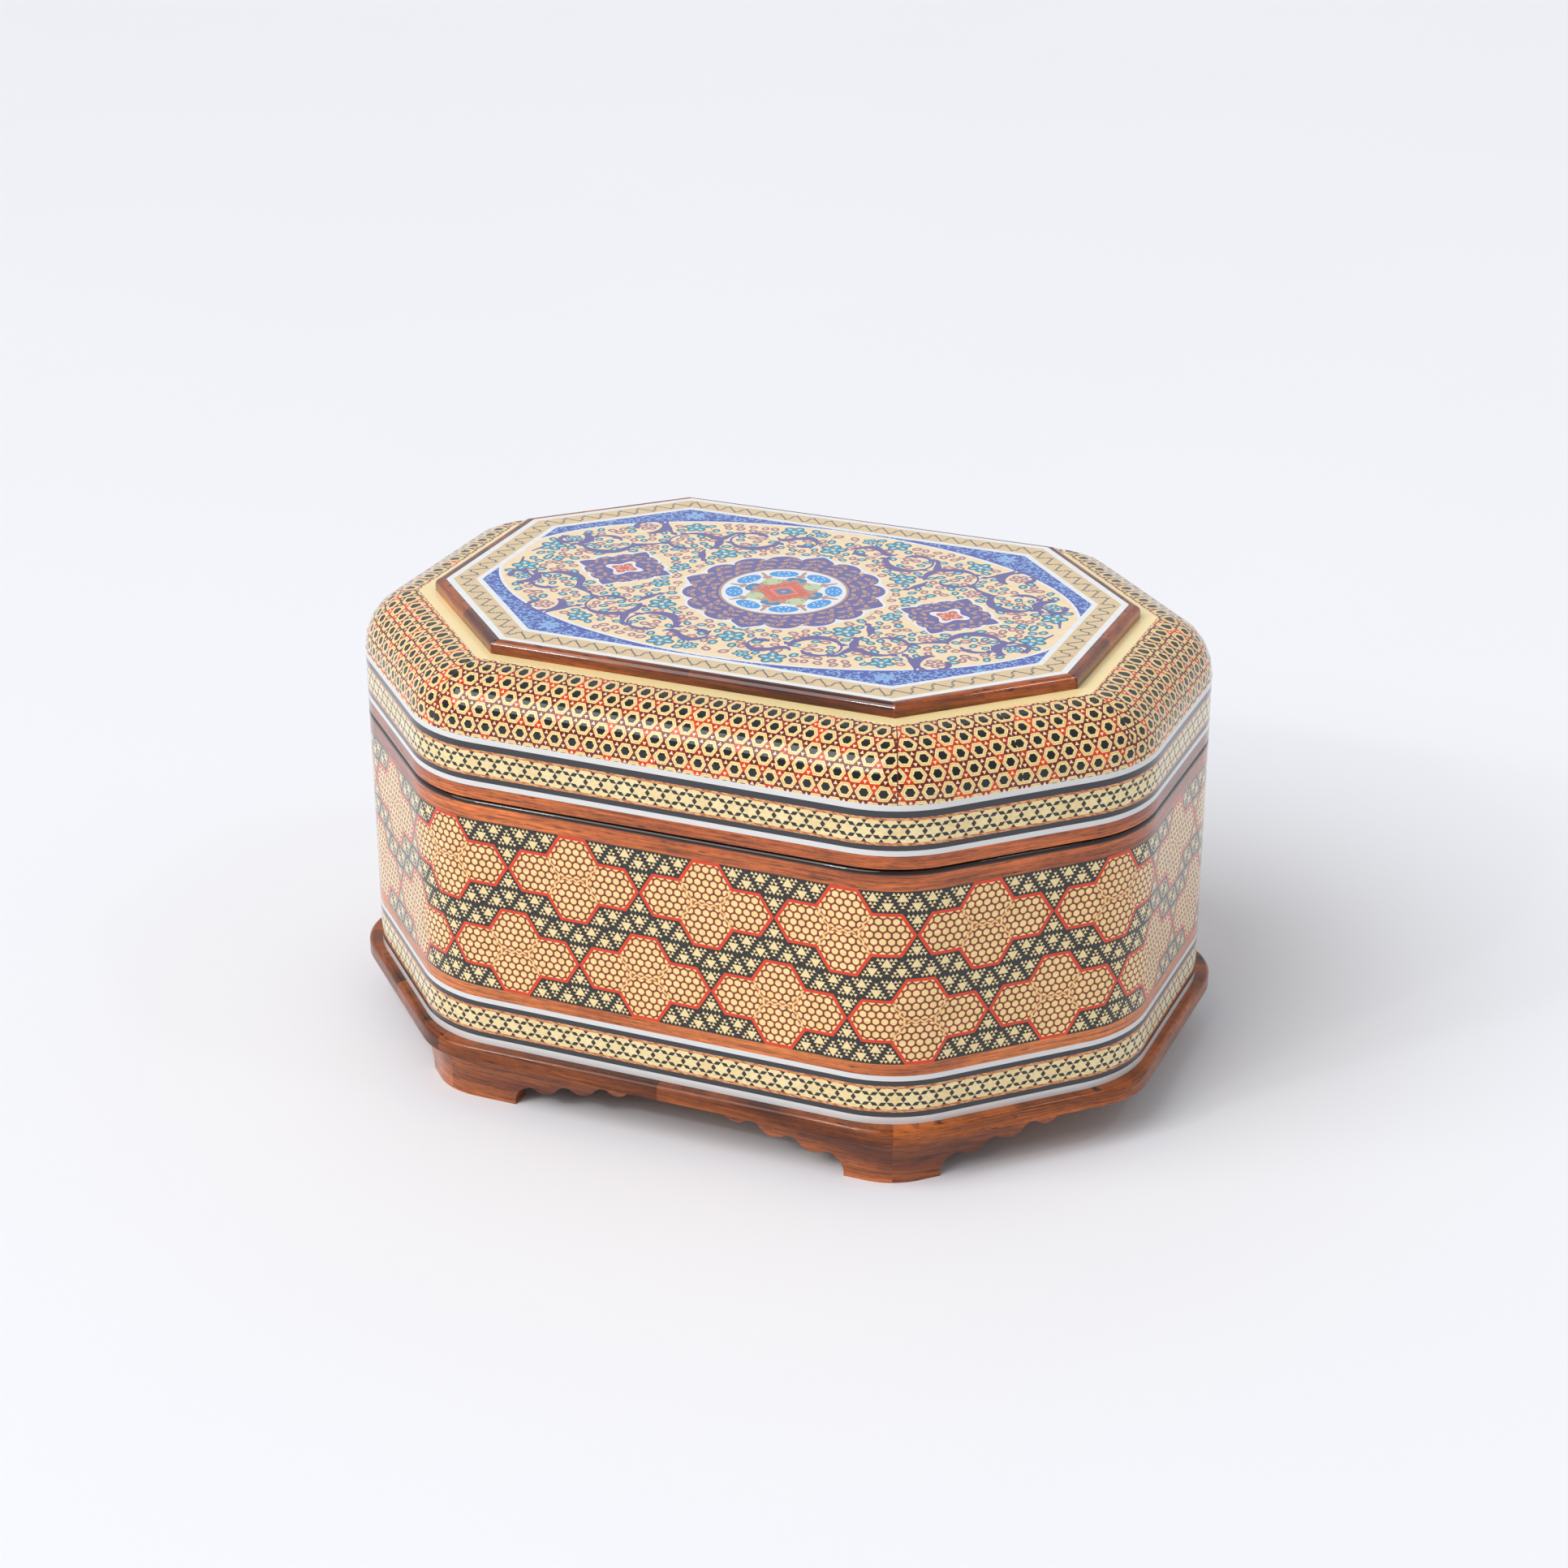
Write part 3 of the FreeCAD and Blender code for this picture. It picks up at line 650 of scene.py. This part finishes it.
def medallion():
    """A quarter of the middle medallion: a lobed violet ring round a roundel of sprays and a red diamond."""
    shapes = [("white", [0j, *arc(0j, lambda angle: medallion_edge(angle) + 0.75, -1, 91, 92)])]
    shapes += [("white", ellipse(rotated(11.25 + 22.5 * notch, 23.2), 1.2, 1.3, 22.5 * notch))
               for notch in range(4)]
    shapes.append(("violet", [0j, *arc(0j, medallion_edge, -1, 91, 92)]))
    for ring, radius in enumerate((16.8, 19.3, 21.8)):
        count = 9 + ring
        for step in range(count):
            angle = 90 * (step + 0.5) / count
            lean = angle + 62 * (-1) ** (step + ring)
            place = rotated(angle, radius)
            shapes.append(("tawny", ellipse(place, 1.05, 0.55, lean, 7)))
            shapes += stroke("tawny", arc(place + rotated(lean, 0.9), 0.8, lean - 120, lean + 60, 4), 0.32)
    shapes.append(("tawny", [0j, *arc(0j, ROUNDEL + 0.6, -1, 91, 24)]))
    shapes.append(("white", [0j, *arc(0j, ROUNDEL, -1, 91, 24)]))
    for angle in (22.5, 67.5):
        spray = rotated(angle, 11.9)
        shapes.append(("azure", ellipse(spray, 2.1, 3.6, angle, 14)))
        shapes += [("white", ellipse(spray + rotated(angle + 51 * dash, 1.4), 0.4, 0.2, 51.0 * dash, 6))
                   for dash in range(7)]
    for angle in (0, 45, 90):
        shapes.append(("tawny", ellipse(rotated(angle, 12.3), 1.9, 0.5, angle)))
        shapes.append(("tawny", ellipse(rotated(angle, 10.6), 0.8, 1.4, angle)))
    shapes.append(("tawny", [0j, 9.9 + 0j, rotated(22, 8.0), rotated(45, 10.3), rotated(68, 8.0), 9.9j]))
    shapes.append(("green", ellipse(rotated(45, 7.4), 2.2, 2.5, 45, 10)))
    shapes += [("ink", ellipse(rotated(angle, 7.5), 0.6, 0.18, angle, 6)) for angle in (32, 58)]
    for angle in (0, 90):
        shapes.append(("sea", ellipse(rotated(angle, 8.2), 1.6, 2.6, angle, 12)))
        shapes.append(("tawny", ellipse(rotated(angle, 7.3), 1.0, 1.1, angle)))
    shapes.append(("red", [0j, 7.2 + 0j, 7.2j]))
    shapes += [("coral", ellipse(complex(step * 1.15, 6.4 - step * 1.15), 0.4, 0.24, 45, 6))
               for step in range(1, 6)]
    shapes.append(("coral", [0j, 3.9 + 0j, 3.9j]))
    shapes.append(("red", [0j, 3.1 + 0j, 3.1j]))
    shapes.append(("sea", [0j, 1.9 + 0j, 1.4 + 1.4j, 1.9j]))
    shapes.append(("coral", [0j, 0.8 + 0j, 0.8j]))
    return shapes


def cartouche():
    """The upper half of a side cartouche, with tawny curls round a small rose figure."""
    shapes = [("white", arc(CARTOUCHE, lambda angle: cartouche_edge(angle) + 0.75, -4, 184, 94))]
    shapes.append(("violet", arc(CARTOUCHE, cartouche_edge, -4, 184, 94)))
    for radius, count in ((6.0, 7), (8.4, 9)):
        for step in range(count):
            angle = 180 * (step + 0.5) / count
            lean = angle + 60 * (-1) ** step
            shapes.append(("tawny", ellipse(CARTOUCHE + rotated(angle, radius), 0.95, 0.5, lean, 7)))
            beside = CARTOUCHE + rotated(angle + 8, radius + 0.8)
            shapes.append(("tawny", ellipse(beside, 0.6, 0.3, lean + 70, 6)))
    shapes.append(("white", arc(CARTOUCHE, lambda angle: 3.0 + 2.0 * wave(angle * 2) ** 3, -6, 186, 40)))
    shapes.append(("red", arc(CARTOUCHE, lambda angle: 2.3 + 1.1 * wave(angle * 2) ** 3, -6, 186, 30)))
    shapes += [("pale_rose", ellipse(CARTOUCHE + rotated(18 + 36 * step, 1.7), 0.6, 0.2, 18 + 36 * step, 6))
               for step in range(5)]
    return shapes


def free_places(lines):
    """Places for buds, spread over what the oval's larger figures and lines leave free."""
    taken = [point for line in lines for point in line]
    places = []
    for _ in range(6000):
        place = complex(PANEL_RNG.uniform(0.5, 69.0), PANEL_RNG.uniform(0.5, OVAL_Y))
        inside = (place.real / (OVAL_X - 1.7)) ** 2 + (place.imag / (OVAL_Y - 1.7)) ** 2 < 1
        clear = abs(place) > MEDALLION + 1.7 and abs(place - CARTOUCHE) > cartouche_edge(0) * 0.98
        clear = clear and all(abs(place - centre) > size + 1.2 for centre, size, _ in FLOWERS)
        clear = clear and all(abs(place - point) > 1.35 for point in taken)
        if inside and clear and all(abs(place - other) > 2.3 for other in places):
            places.append(place)
    return places


def foliage():
    """The scrolls, flowers, buds and thin stems of a quarter of the oval."""
    tendrils = [bent(*tendril) for tendril in TENDRILS]
    places = free_places(tendrils + [scroll_line(*spiral) for spiral in SCROLLS])
    shapes = []
    for place in places:
        near = min((other for other in places if other != place), key=lambda other: abs(other - place))
        shapes += stroke("stem", bent(place, (place + near) / 2 + (near - place) * 0.45j, near, 4), 0.24)
    for spiral in SCROLLS:
        shapes += scroll(*spiral)
    for line in tendrils:
        shapes += stroke("violet", line, lambda part: 0.55 + 1.5 * swelling(part, 0.0, 1.0) ** 2)
        heading = math.degrees(math.atan2((line[0] - line[1]).imag, (line[0] - line[1]).real))
        shapes.append(leaf(line[0] + rotated(heading, 0.9), heading, 2.8, 1.9))
    for number, (centre, size, tone) in enumerate(FLOWERS):
        shapes += flower(centre, size * 1.12, tone, 90.0 + number * 17)
    for place in places:
        tone = "rose" if PANEL_RNG.random() < 0.54 else "teal"
        shapes += bud(place, PANEL_RNG.uniform(0.94, 1.18), tone, PANEL_RNG.uniform(0, 180))
    return shapes


def spandrel():
    """Sky-blue sprigs on the blue corner between the oval and the octagon."""
    shapes = []
    for column in range(48):
        for row in range(30):
            across, up = PANEL_RNG.uniform(0.0, 1.0), PANEL_RNG.uniform(0.0, 1.0)
            place = complex(column * 1.5 + across, row * 1.55 + up)
            turn = PANEL_RNG.uniform(0, 360)
            if (place.real / (OVAL_X + 1.3)) ** 2 + (place.imag / (OVAL_Y + 1.3)) ** 2 < 1:
                continue
            shapes += stroke("sky", arc(place, 0.5, turn, turn + 190, 4), 0.34)
            shapes.append(("sky", ellipse(place + rotated(turn, 0.7), 0.46, 0.3, turn + 60, 6)))
    for centre, size in ((42.0 + 41.4j, 2.5), (60.4 + 30.2j, 1.7)):
        shapes += [("sky", ellipse(centre + rotated(angle, size * 0.6), size * 0.52, size * 0.28, angle))
                   for angle in range(0, 360, 60)]
    return shapes


def octagon(inset):
    """Corners of the panel's outline set in by a distance, anticlockwise from the right end of the front."""
    half_x, half_y = PANEL_X - inset, PANEL_Y - inset
    cut = PANEL_CUT - inset * (2 - math.sqrt(2))
    corners = [complex(half_x - cut, -half_y), complex(half_x, cut - half_y),
               complex(half_x, half_y - cut), complex(half_x - cut, half_y)]
    return corners + [-point for point in corners]


def hooks(start, end):
    """A row of slanted strokes, hooked at both ends, from start to end."""
    length = abs(end - start)
    ahead = (end - start) / length
    count = round(length / 4.64)
    slant = bent(1.5 - 2.1j, 0.9 - 0.9j, 0j, 4)
    hook = [1.0 - 1.3j, 1.7 - 1.3j, 2.25 - 0.95j, 2.4 - 0.4j, 2.0 - 0.1j]
    shapes = []
    for step in range(count):
        spot = start + ahead * length * (step + 0.5) / count
        for turned in (ahead, -ahead):
            shapes += stroke("ink", [spot + point * turned for point in slant], lambda part: 0.3 + 0.2 * part)
            shapes += stroke("ink", [spot + point * turned for point in hook], lambda part: 0.56 - 0.1 * part)
    return shapes


def oval(grow):
    """A quarter of the oval, made larger by a distance."""
    half_x, half_y = OVAL_X + grow, OVAL_Y + grow
    points = [complex(half_x * wave(3 * step), half_y * wave(90 - 3 * step)) for step in range(31)]
    return [0j, *points]


def flattened(shapes, outline):
    """The faces that show when shapes are laid over each other inside the outline: tone and corner points."""
    points, faces = [], []
    for corners in [outline, *(corners for _, corners in shapes)]:
        following = corners[1:] + corners[:1]
        turn = sum((first.conjugate() * second).imag for first, second in zip(corners, following))
        ordered = corners if turn > 0 else corners[::-1]
        faces.append(list(range(len(points), len(points) + len(ordered))))
        points += [Vector((point.real, point.imag)) for point in ordered]
    made = geometry.delaunay_2d_cdt(points, [], faces, 0, 1e-5)
    shown = []
    for corners, sources in zip(made[2], made[5]):
        if 0 in sources and max(sources) > 0:
            shown.append((shapes[max(sources) - 1][0], [made[0][corner] for corner in corners]))
    return shown


def miniature():
    """Lacquered paint: the colour laid on each face, a little uneven, with faint brush marks."""
    made = Material("miniature")
    x, y, z = made.place()
    paint = made.node("Attribute", attribute_name="Paint")
    patch = made.noise(made.vector(x, y, z), 0.35, 4.0)
    brush = made.noise(made.vector(x * 2.6, y * 0.7, 1.0), 1.0, 3.0)
    base = made.shaded(paint.outputs["Color"], (patch - 0.5) * 0.22 + (brush - 0.5) * 0.2 + 1.0)
    return made.finish(base, 0.4, 1.0, 0.05, brush, 0.01)


def painted_panel():
    """The panel as a thin closed sheet whose top is cut into painted faces."""
    low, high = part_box("lid_painted_panel")
    edge, field = octagon(0.0), octagon(8.1)
    middle = octagon(4.15)
    rim = [("white", edge), ("tan", octagon(1.6))]
    for start, end in zip(middle, middle[1:] + middle[:1]):
        rim += hooks(start, end)
    rim += [("white", octagon(6.7)), ("field", field)]
    corner = [0j, complex(field[2].real, 0), field[2], field[3], complex(0, field[3].imag)]
    quarter = [("blue", corner), *spandrel(), ("white", oval(0.8)), ("cream", oval(0.0))]
    quarter += foliage() + cartouche() + medallion()
    faces = [face for face in flattened(rim, edge) if face[0] != "field"]
    for tone, corners in flattened(quarter, corner):
        for flip_x, flip_y in ((1, 1), (-1, 1), (-1, -1), (1, -1)):
            turned = [Vector((point.x * flip_x, point.y * flip_y)) for point in corners]
            faces.append((tone, turned if flip_x == flip_y else turned[::-1]))
    shape = bmesh.new()
    paint = shape.loops.layers.float_color.new("Paint")
    verts = {}

    def vert(x, y, z):
        key = (round(x, 3), round(y, 3), z)
        if key not in verts:
            verts[key] = shape.verts.new((x * MM, y * MM, z))
        return verts[key]

    def add(tone, corners):
        ring = list(dict.fromkeys(corners))
        if len(ring) > 2 and not shape.faces.get(ring):
            for loop in shape.faces.new(ring).loops:
                loop[paint] = (*colour(TONES[tone]), 1.0)

    for tone, corners in faces:
        add(tone, [vert(point.x, point.y, high.z) for point in corners])
    for start, end in zip(edge, edge[1:] + edge[:1]):
        add("white", [vert(start.real, start.imag, low.z), vert(end.real, end.imag, low.z),
                      vert(end.real, end.imag, high.z), vert(start.real, start.imag, high.z)])
    add("white", [vert(point.real, point.imag, low.z) for point in edge[::-1]])
    return finished("painted_panel", shape, miniature())


# ---------------------------------------------------------------- velvet, cushion and brass


def velvet(name, tone, shade):
    """Short-piled cloth with a soft sheen, darker where the pile is pressed."""
    made = Material(name)
    x, y, z = made.place()
    pressed = made.noise(made.vector(x, y, z), 0.07, 3.0)
    pile = made.noise(made.vector(x, y, z), 3.4, 2.0)
    base = made.mix(pressed.ramp(0.35, 0.65), shade, tone)
    base = made.shaded(base, (pile - 0.5) * 0.7 + 1.0)
    made.shader.inputs["Sheen Weight"].default_value = 0.5
    made.shader.inputs["Sheen Roughness"].default_value = 0.35
    made.shader.inputs["Sheen Tint"].default_value = (*colour("e08a86"), 1.0)
    return made.finish(base, 0.85, 0.0, 0.3, pile, 0.15)


def brass():
    """Yellow brass with fine scratches and a few darker spots."""
    made = Material("brass")
    x, y, z = made.place()
    scratch = made.noise(made.vector(x * 0.8, y * 9.0, z * 9.0), 1.0, 4.0)
    spot = made.noise(made.vector(x, y, z), 0.6, 3.0)
    base = made.mix(spot.ramp(0.55, 0.75), colour("d8ae5c"), colour("8a6426"))
    made.shader.inputs["Metallic"].default_value = 1.0
    return made.finish(base, 0.28, 0.0, 0.1, scratch, 0.02)


def cushion():
    """The padded floor: a thin octagonal pad, held down along its sewn edge. Cloth pressure swells it, and
    its top is then limited to the CAD cushion's top, which leaves it flat in the middle."""
    low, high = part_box("base_floor_cushion")
    play, cut = 0.0006, 0.037
    half_x, half_y = (high.x - low.x) / 2 - play, (high.y - low.y) / 2 - play
    corners = [(half_x - cut, -half_y), (half_x, cut - half_y)]
    corners += [(half_x, half_y - cut), (half_x - cut, half_y)]
    corners += [(-x, -y) for x, y in corners]
    shape = bmesh.new()
    foot = [shape.verts.new((x, y, low.z + 0.0002)) for x, y in corners]
    top = [shape.verts.new((x, y, high.z - 0.0008)) for x, y in corners]
    shape.faces.new(foot[::-1])
    shape.faces.new(top)
    for place in range(8):
        shape.faces.new((foot[place - 1], foot[place], top[place], top[place - 1]))
    cloth = velvet("velvet_cushion", colour("7c1524"), colour("4c0a16"))
    pad = finished("floor_cushion", shape, cloth, smooth=True)
    select_only(pad)
    remesh = pad.modifiers.new("remesh", "REMESH")
    remesh.mode = "VOXEL"
    remesh.voxel_size = 0.0011
    bpy.ops.object.modifier_apply(modifier="remesh")
    start = [vert.co.copy() for vert in pad.data.vertices]
    swell(pad)
    for vert, rest in zip(pad.data.vertices, start):
        inset = min(half_x - abs(rest.x), half_y - abs(rest.y),
                    (half_x + half_y - cut - abs(rest.x) - abs(rest.y)) * ROOT_HALF)
        crown = 1.0 - math.exp(-max(0.0, inset) / 0.004)
        moved = vert.co - rest
        shift = Vector((0.0, 0.0, max(-0.0004, min(0.0009, moved.z))))
        vert.co = rest + shift * crown
        if rest.z > (low.z + high.z) / 2:
            vert.co.z += 0.0004 * crown - 0.0006 * (1 - crown)
        vert.co.z = max(low.z, min(high.z, vert.co.z))
    for face in pad.data.polygons:
        face.use_smooth = True
    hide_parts("base_floor_cushion")
    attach(pad, "base")


def select_only(thing):
    """Makes a thing the only selected object, and the active one."""
    for other in bpy.context.selected_objects:
        other.select_set(False)
    thing.select_set(True)
    bpy.context.view_layer.objects.active = thing


def swell(pad):
    """Blows the pad up as cloth for a few frames, without gravity."""
    select_only(pad)
    cloth = pad.modifiers.new("cloth", "CLOTH")
    cloth.settings.use_pressure = True
    cloth.settings.uniform_pressure_force = 4.0
    cloth.settings.effector_weights.gravity = 0.0
    for frame_number in range(1, 11):
        bpy.context.scene.frame_set(frame_number)
    bpy.ops.object.modifier_apply(modifier="cloth")
    bpy.context.scene.frame_set(1)


# ---------------------------------------------------------------- materials on the CAD nodes


def dress(material, *nodes):
    """Gives CAD nodes a material in place of their own."""
    for node in nodes:
        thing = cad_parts[node]
        thing.data.materials.clear()
        thing.data.materials.append(material)


def matching(*words):
    """The CAD nodes whose names hold any of the words."""
    return [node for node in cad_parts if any(word in node for word in words)]


strip_light, strip_dark = colour("cf6d30"), colour("7c3010")
dress(walnut("walnut_strip", colour("de8140"), colour("a34c1c"), along_outline, 1.8), "base_walnut_strip")
rim_top, lip_low = level("base_rim_strip", top=True), level("lid_lip_strip")
# Painted shade: dark bands on the rim's top edge and the lip's lower edge stand in for the shadow in the seam
# between lid and base.
rim_seam_shade, lip_seam_shade = (rim_top - 1.35, rim_top - 1.0), (lip_low + 0.35, lip_low + 0.15)
dress(walnut("walnut_rim", strip_light, strip_dark, along_outline, 2.2, painted_seam_shade=rim_seam_shade), "base_rim_strip")
dress(walnut("walnut_lip", strip_light, strip_dark, along_outline, 2.2, painted_seam_shade=lip_seam_shade), "lid_lip_strip")
round_body, round_panel = along_sides(BODY_X, BODY_Y, BODY_CUT), along_sides(PANEL_X, PANEL_Y, PANEL_CUT)
dress(walnut("walnut_feet", colour("b8642e"), colour("62290f"), round_body, 1.8), *matching("foot_"))
dress(walnut("walnut_plinth", colour("b8622a"), colour("54240c"), round_body, 1.8, 0.08, coat=0.55),
      "base_plinth_moulding")
panel_wood = walnut("walnut_moulding", colour("aa5420"), colour("4a1a07"), round_panel, 1.8)
dress(panel_wood, "lid_panel_moulding", "lid_panel_board")
dress(walnut("carcass", colour("a8733f"), colour("7d4e27"), round_body, 0.7, 0.3),
      *matching("base_wall_", "lid_wall_", "floor_board", "top_block"))
dress(plain_line("white_line", "dedddc", 0.06), *matching("white_line"))
dress(plain_line("black_line", "333338", 0.3), *matching("black_line"))
dress(plain_line("cream_strip", "ffe9ac", 0.08), "lid_cream_strip")
lining = velvet("velvet_lining", colour("7a1422"), colour("520c18"))
dress(lining, "base_wall_lining", "lid_wall_lining", "lid_top_lining")
dress(brass(), *matching("hinge_"))
for body in ("base", "lid"):
    band = f"{body}_star_band"
    dress(star_inlay(f"stars_{body}", (level(band) + level(band, top=True)) / 2), band)
for inlay, node in ((khatam_field, "base_khatam_field"), (khatam_flank, "lid_khatam_flank")):
    dress(inlay(node.split("_")[-1], level(node), level(node, top=True)), node)

# ---------------------------------------------------------------- pieces that replace CAD nodes

panel = painted_panel()
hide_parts("lid_painted_panel")
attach(panel, "lid")
cushion()

# ---------------------------------------------------------------- stage, light and camera


def aimed(name, lamp, place, aim):
    """Puts a lamp at place so that it shines at aim."""
    holder = bpy.data.objects.new(name, lamp)
    bpy.context.scene.collection.objects.link(holder)
    holder.location = place
    holder.rotation_euler = (Vector(aim) - Vector(place)).to_track_quat("-Z", "Y").to_euler()


def soft_box(name, place, size, radiance):
    """A rectangular area light that faces the lid, as bright all over as radiance."""
    lamp = bpy.data.lights.new(name, "AREA")
    lamp.shape = "RECTANGLE"
    lamp.size, lamp.size_y = size
    lamp.energy = radiance * math.pi * size[0] * size[1]
    aimed(name, lamp, place, (0, 0, 0.1))


def sun(power, spread):
    """Wide, even light from above the front left."""
    lamp = bpy.data.lights.new("sun", "SUN")
    lamp.energy = power
    lamp.angle = math.radians(spread)
    aimed("sun", lamp, (-0.37, -0.56, 0.74), (0, 0, 0))


def sky():
    """A pale studio room, brighter behind and to the sides than in front."""
    world = bpy.data.worlds.new("studio")
    world.use_nodes = True
    made = Nodes(world.node_tree)
    split = made.node("SeparateXYZ")
    made.tree.links.new(made.node("TexCoord").outputs["Generated"], split.inputs[0])
    x, y = [made.number(split.outputs[axis]) for axis in range(2)]
    glow = (y * 0.5 + x.abs() * 0.35 + 0.35).ramp(0.0, 1.0)
    tone = made.mix(glow, colour("a6a7aa"), colour("f1f2f5"))
    background = world.node_tree.nodes["Background"]
    made.tree.links.new(tone, background.inputs["Color"])
    background.inputs["Strength"].default_value = 0.8
    bpy.context.scene.world = world


def floor():
    """A wide pale floor."""
    shape = bmesh.new()
    corners = [shape.verts.new((x, y, 0.0)) for x, y in ((-6, -6), (6, -6), (6, 6), (-6, 6))]
    shape.faces.new(corners)
    made = Material("floor")
    x, y, z = made.place()
    cloud = made.noise(made.vector(x * 0.004, y * 0.004, z * 0.004), 1.0, 2.0)
    base = made.mix(cloud, colour("eff1f5"), colour("f3f4f8"))
    finished("floor", shape, made.finish(base, 0.75, 0.0, 0.3))


def camera():
    """A long lens at the front right, looking down on the lid."""
    place, roll = (0.27529, -0.65167, 0.37882), math.radians(-0.12)
    lens = bpy.data.cameras.new("camera")
    lens.sensor_width = 36.0
    lens.lens = 72.45
    holder = bpy.data.objects.new("camera", lens)
    bpy.context.scene.collection.objects.link(holder)
    aim = Vector((-0.35494, 0.84004, -0.41031)).normalized()
    right = aim.cross(Vector((0, 0, 1))).normalized()
    up = right.cross(aim)
    turn = Matrix((right, up, -aim)).transposed() @ Matrix.Rotation(roll, 3, "Z")
    holder.matrix_world = Matrix.Translation(place) @ turn.to_4x4()
    bpy.context.scene.camera = holder


floor()
camera()
sky()
sun(power=1.98, spread=50)
soft_box("glint_left", (-0.568, -0.908, 0.776), (0.08, 0.05), 90.0)
soft_box("glint_right", (-0.354, -0.95, 0.81), (0.03, 0.05), 120.0)
soft_box("glint_side", (0.77, -0.01, 1.09), (0.09, 0.04), 40.0)
bpy.context.scene.view_settings.view_transform = "Standard"
